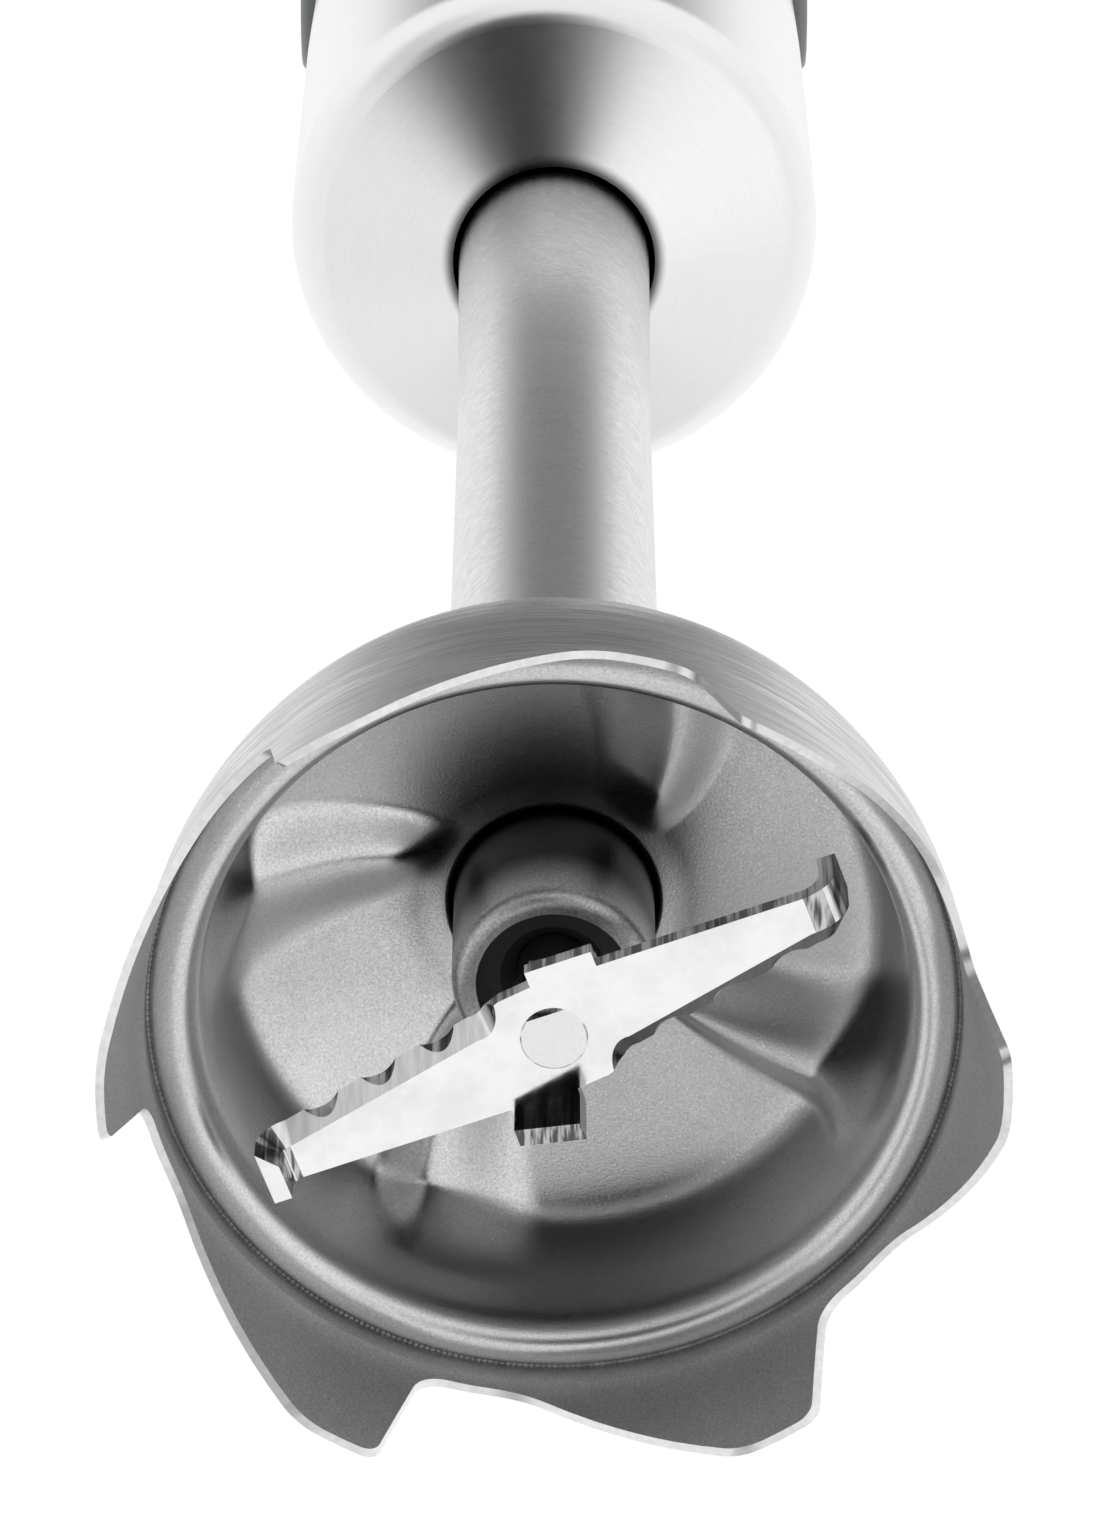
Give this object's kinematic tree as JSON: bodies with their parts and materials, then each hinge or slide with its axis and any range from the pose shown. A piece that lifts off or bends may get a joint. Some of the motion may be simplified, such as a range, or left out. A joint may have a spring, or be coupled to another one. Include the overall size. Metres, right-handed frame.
{
  "type": "immersion blender",
  "caption": "Hand-held stick blender: a lift-off steel leg with a scalloped bell and turning blade under a motor handle with buttons and a speed dial.",
  "frame": {"origin": "on the main axis, in the plane that the tips of the bell stand on", "axes": "+Z along the shaft from the blade to the handle, -Y towards the buttons on the front of the handle"},
  "size_m": [0.0724, 0.069, 0.396],
  "materials": {
    "brushed_steel": "circumferential brushed satin stainless steel",
    "blasted_steel": "fine bead-blasted matt stainless steel",
    "polished_steel": "polished stainless steel",
    "spring_steel": "plain spring steel",
    "zinc_steel": "zinc plated steel",
    "sintered_bronze": "oil-filled sintered bronze",
    "brass_sheet": "plain brass sheet",
    "copper_wire": "enamelled copper",
    "motor_laminations": "varnished electrical steel",
    "carbon": "pressed carbon graphite",
    "seal_rubber": "moulded black rubber",
    "white_acetal": "natural acetal",
    "dark_plastic": "fine-textured dark plastic",
    "soft_grip": "soft-touch moulded grip",
    "button_grey": "satin grey plastic",
    "circuit_board": "green solder mask",
    "capacitor_yellow": "yellow moulded case"
  },
  "bodies": {
    "leg": {"bell_shell": "brushed_steel", "bell_liner": "blasted_steel", "bearing_boss": "blasted_steel", "lower_bush": "sintered_bronze", "shaft_seal": "seal_rubber", "shaft_tube": "brushed_steel", "shaft_support": "white_acetal", "leg_coupler": "dark_plastic", "upper_bush": "sintered_bronze", "coupler_seal": "seal_rubber"},
    "blade_drive": {"blade": "polished_steel", "drive_shaft": "polished_steel", "blade_hub": "polished_steel", "thrust_washer": "white_acetal", "shaft_clip": "spring_steel", "drive_dog": "white_acetal"},
    "motor_unit": {"steel_housing": "brushed_steel", "leg_socket": "dark_plastic", "lower_bracket": "dark_plastic", "upper_bracket": "dark_plastic", "lower_bearing": "polished_steel", "upper_bearing": "polished_steel", "stator_core": "motor_laminations", "field_coils": "copper_wire", "motor_bolts": "zinc_steel", "chassis_screws": "zinc_steel", "brush_holders": "brass_sheet", "carbon_brushes": "carbon", "brush_springs": "spring_steel", "latch_pins": "polished_steel", "trim_ring": "polished_steel", "grip_front": "soft_grip", "grip_back": "soft_grip", "grip_screws": "zinc_steel", "top_cap": "dark_plastic", "cord_gland": "seal_rubber", "speed_potentiometer": "dark_plastic", "control_board": "circuit_board", "on_switch": "dark_plastic", "turbo_switch": "dark_plastic", "interference_capacitor": "capacitor_yellow"},
    "rotor": {"motor_shaft": "polished_steel", "armature_core": "motor_laminations", "armature_windings": "copper_wire", "commutator": "copper_wire", "cooling_fan": "white_acetal", "drive_socket": "dark_plastic"},
    "release_lever_left": {"release_lever_left": "button_grey"},
    "release_lever_right": {"release_lever_right": "button_grey"},
    "on_button": {"on_button": "button_grey"},
    "turbo_button": {"turbo_button": "button_grey"},
    "speed_dial": {"speed_dial": "button_grey"}
  },
  "joints": [
    {"name": "motor_unit_release", "type": "slide", "parent": "leg", "child": "motor_unit", "axis": [0, 0, 1], "range_m": [0, 0.06]},
    {"name": "rotor_spin", "type": "hinge", "parent": "motor_unit", "child": "rotor", "pos_m": [0, 0, 0.267], "axis": [0, 0, 1], "continuous": true},
    {"name": "blade_spin", "type": "hinge", "parent": "leg", "child": "blade_drive", "pos_m": [0, 0, 0.1], "axis": [0, 0, 1], "continuous": true},
    {"name": "release_left_press", "type": "hinge", "parent": "motor_unit", "child": "release_lever_left", "pos_m": [-0.0215, 0, 0.232], "axis": [0, 1, 0], "range_deg": [0, 4], "stiffness_Nm_per_rad": 2, "springref_deg": -2.86},
    {"name": "release_right_press", "type": "hinge", "parent": "motor_unit", "child": "release_lever_right", "pos_m": [0.0215, 0, 0.232], "axis": [0, -1, 0], "range_deg": [0, 4], "stiffness_Nm_per_rad": 2, "springref_deg": -2.86},
    {"name": "on_button_press", "type": "slide", "parent": "motor_unit", "child": "on_button", "axis": [0, 1, 0], "range_m": [0, 0.002], "stiffness_N_per_m": 600, "springref_m": -0.001},
    {"name": "turbo_button_press", "type": "slide", "parent": "motor_unit", "child": "turbo_button", "axis": [0, 1, 0], "range_m": [0, 0.002], "stiffness_N_per_m": 600, "springref_m": -0.001},
    {"name": "speed_dial_turn", "type": "hinge", "parent": "motor_unit", "child": "speed_dial", "pos_m": [0, -0.008, 0.387], "axis": [0, 0, -1], "range_deg": [0, 270]}
  ],
  "couplings": [
    {"joint": "blade_spin", "follows": "rotor_spin", "ratio": 1}
  ]
}
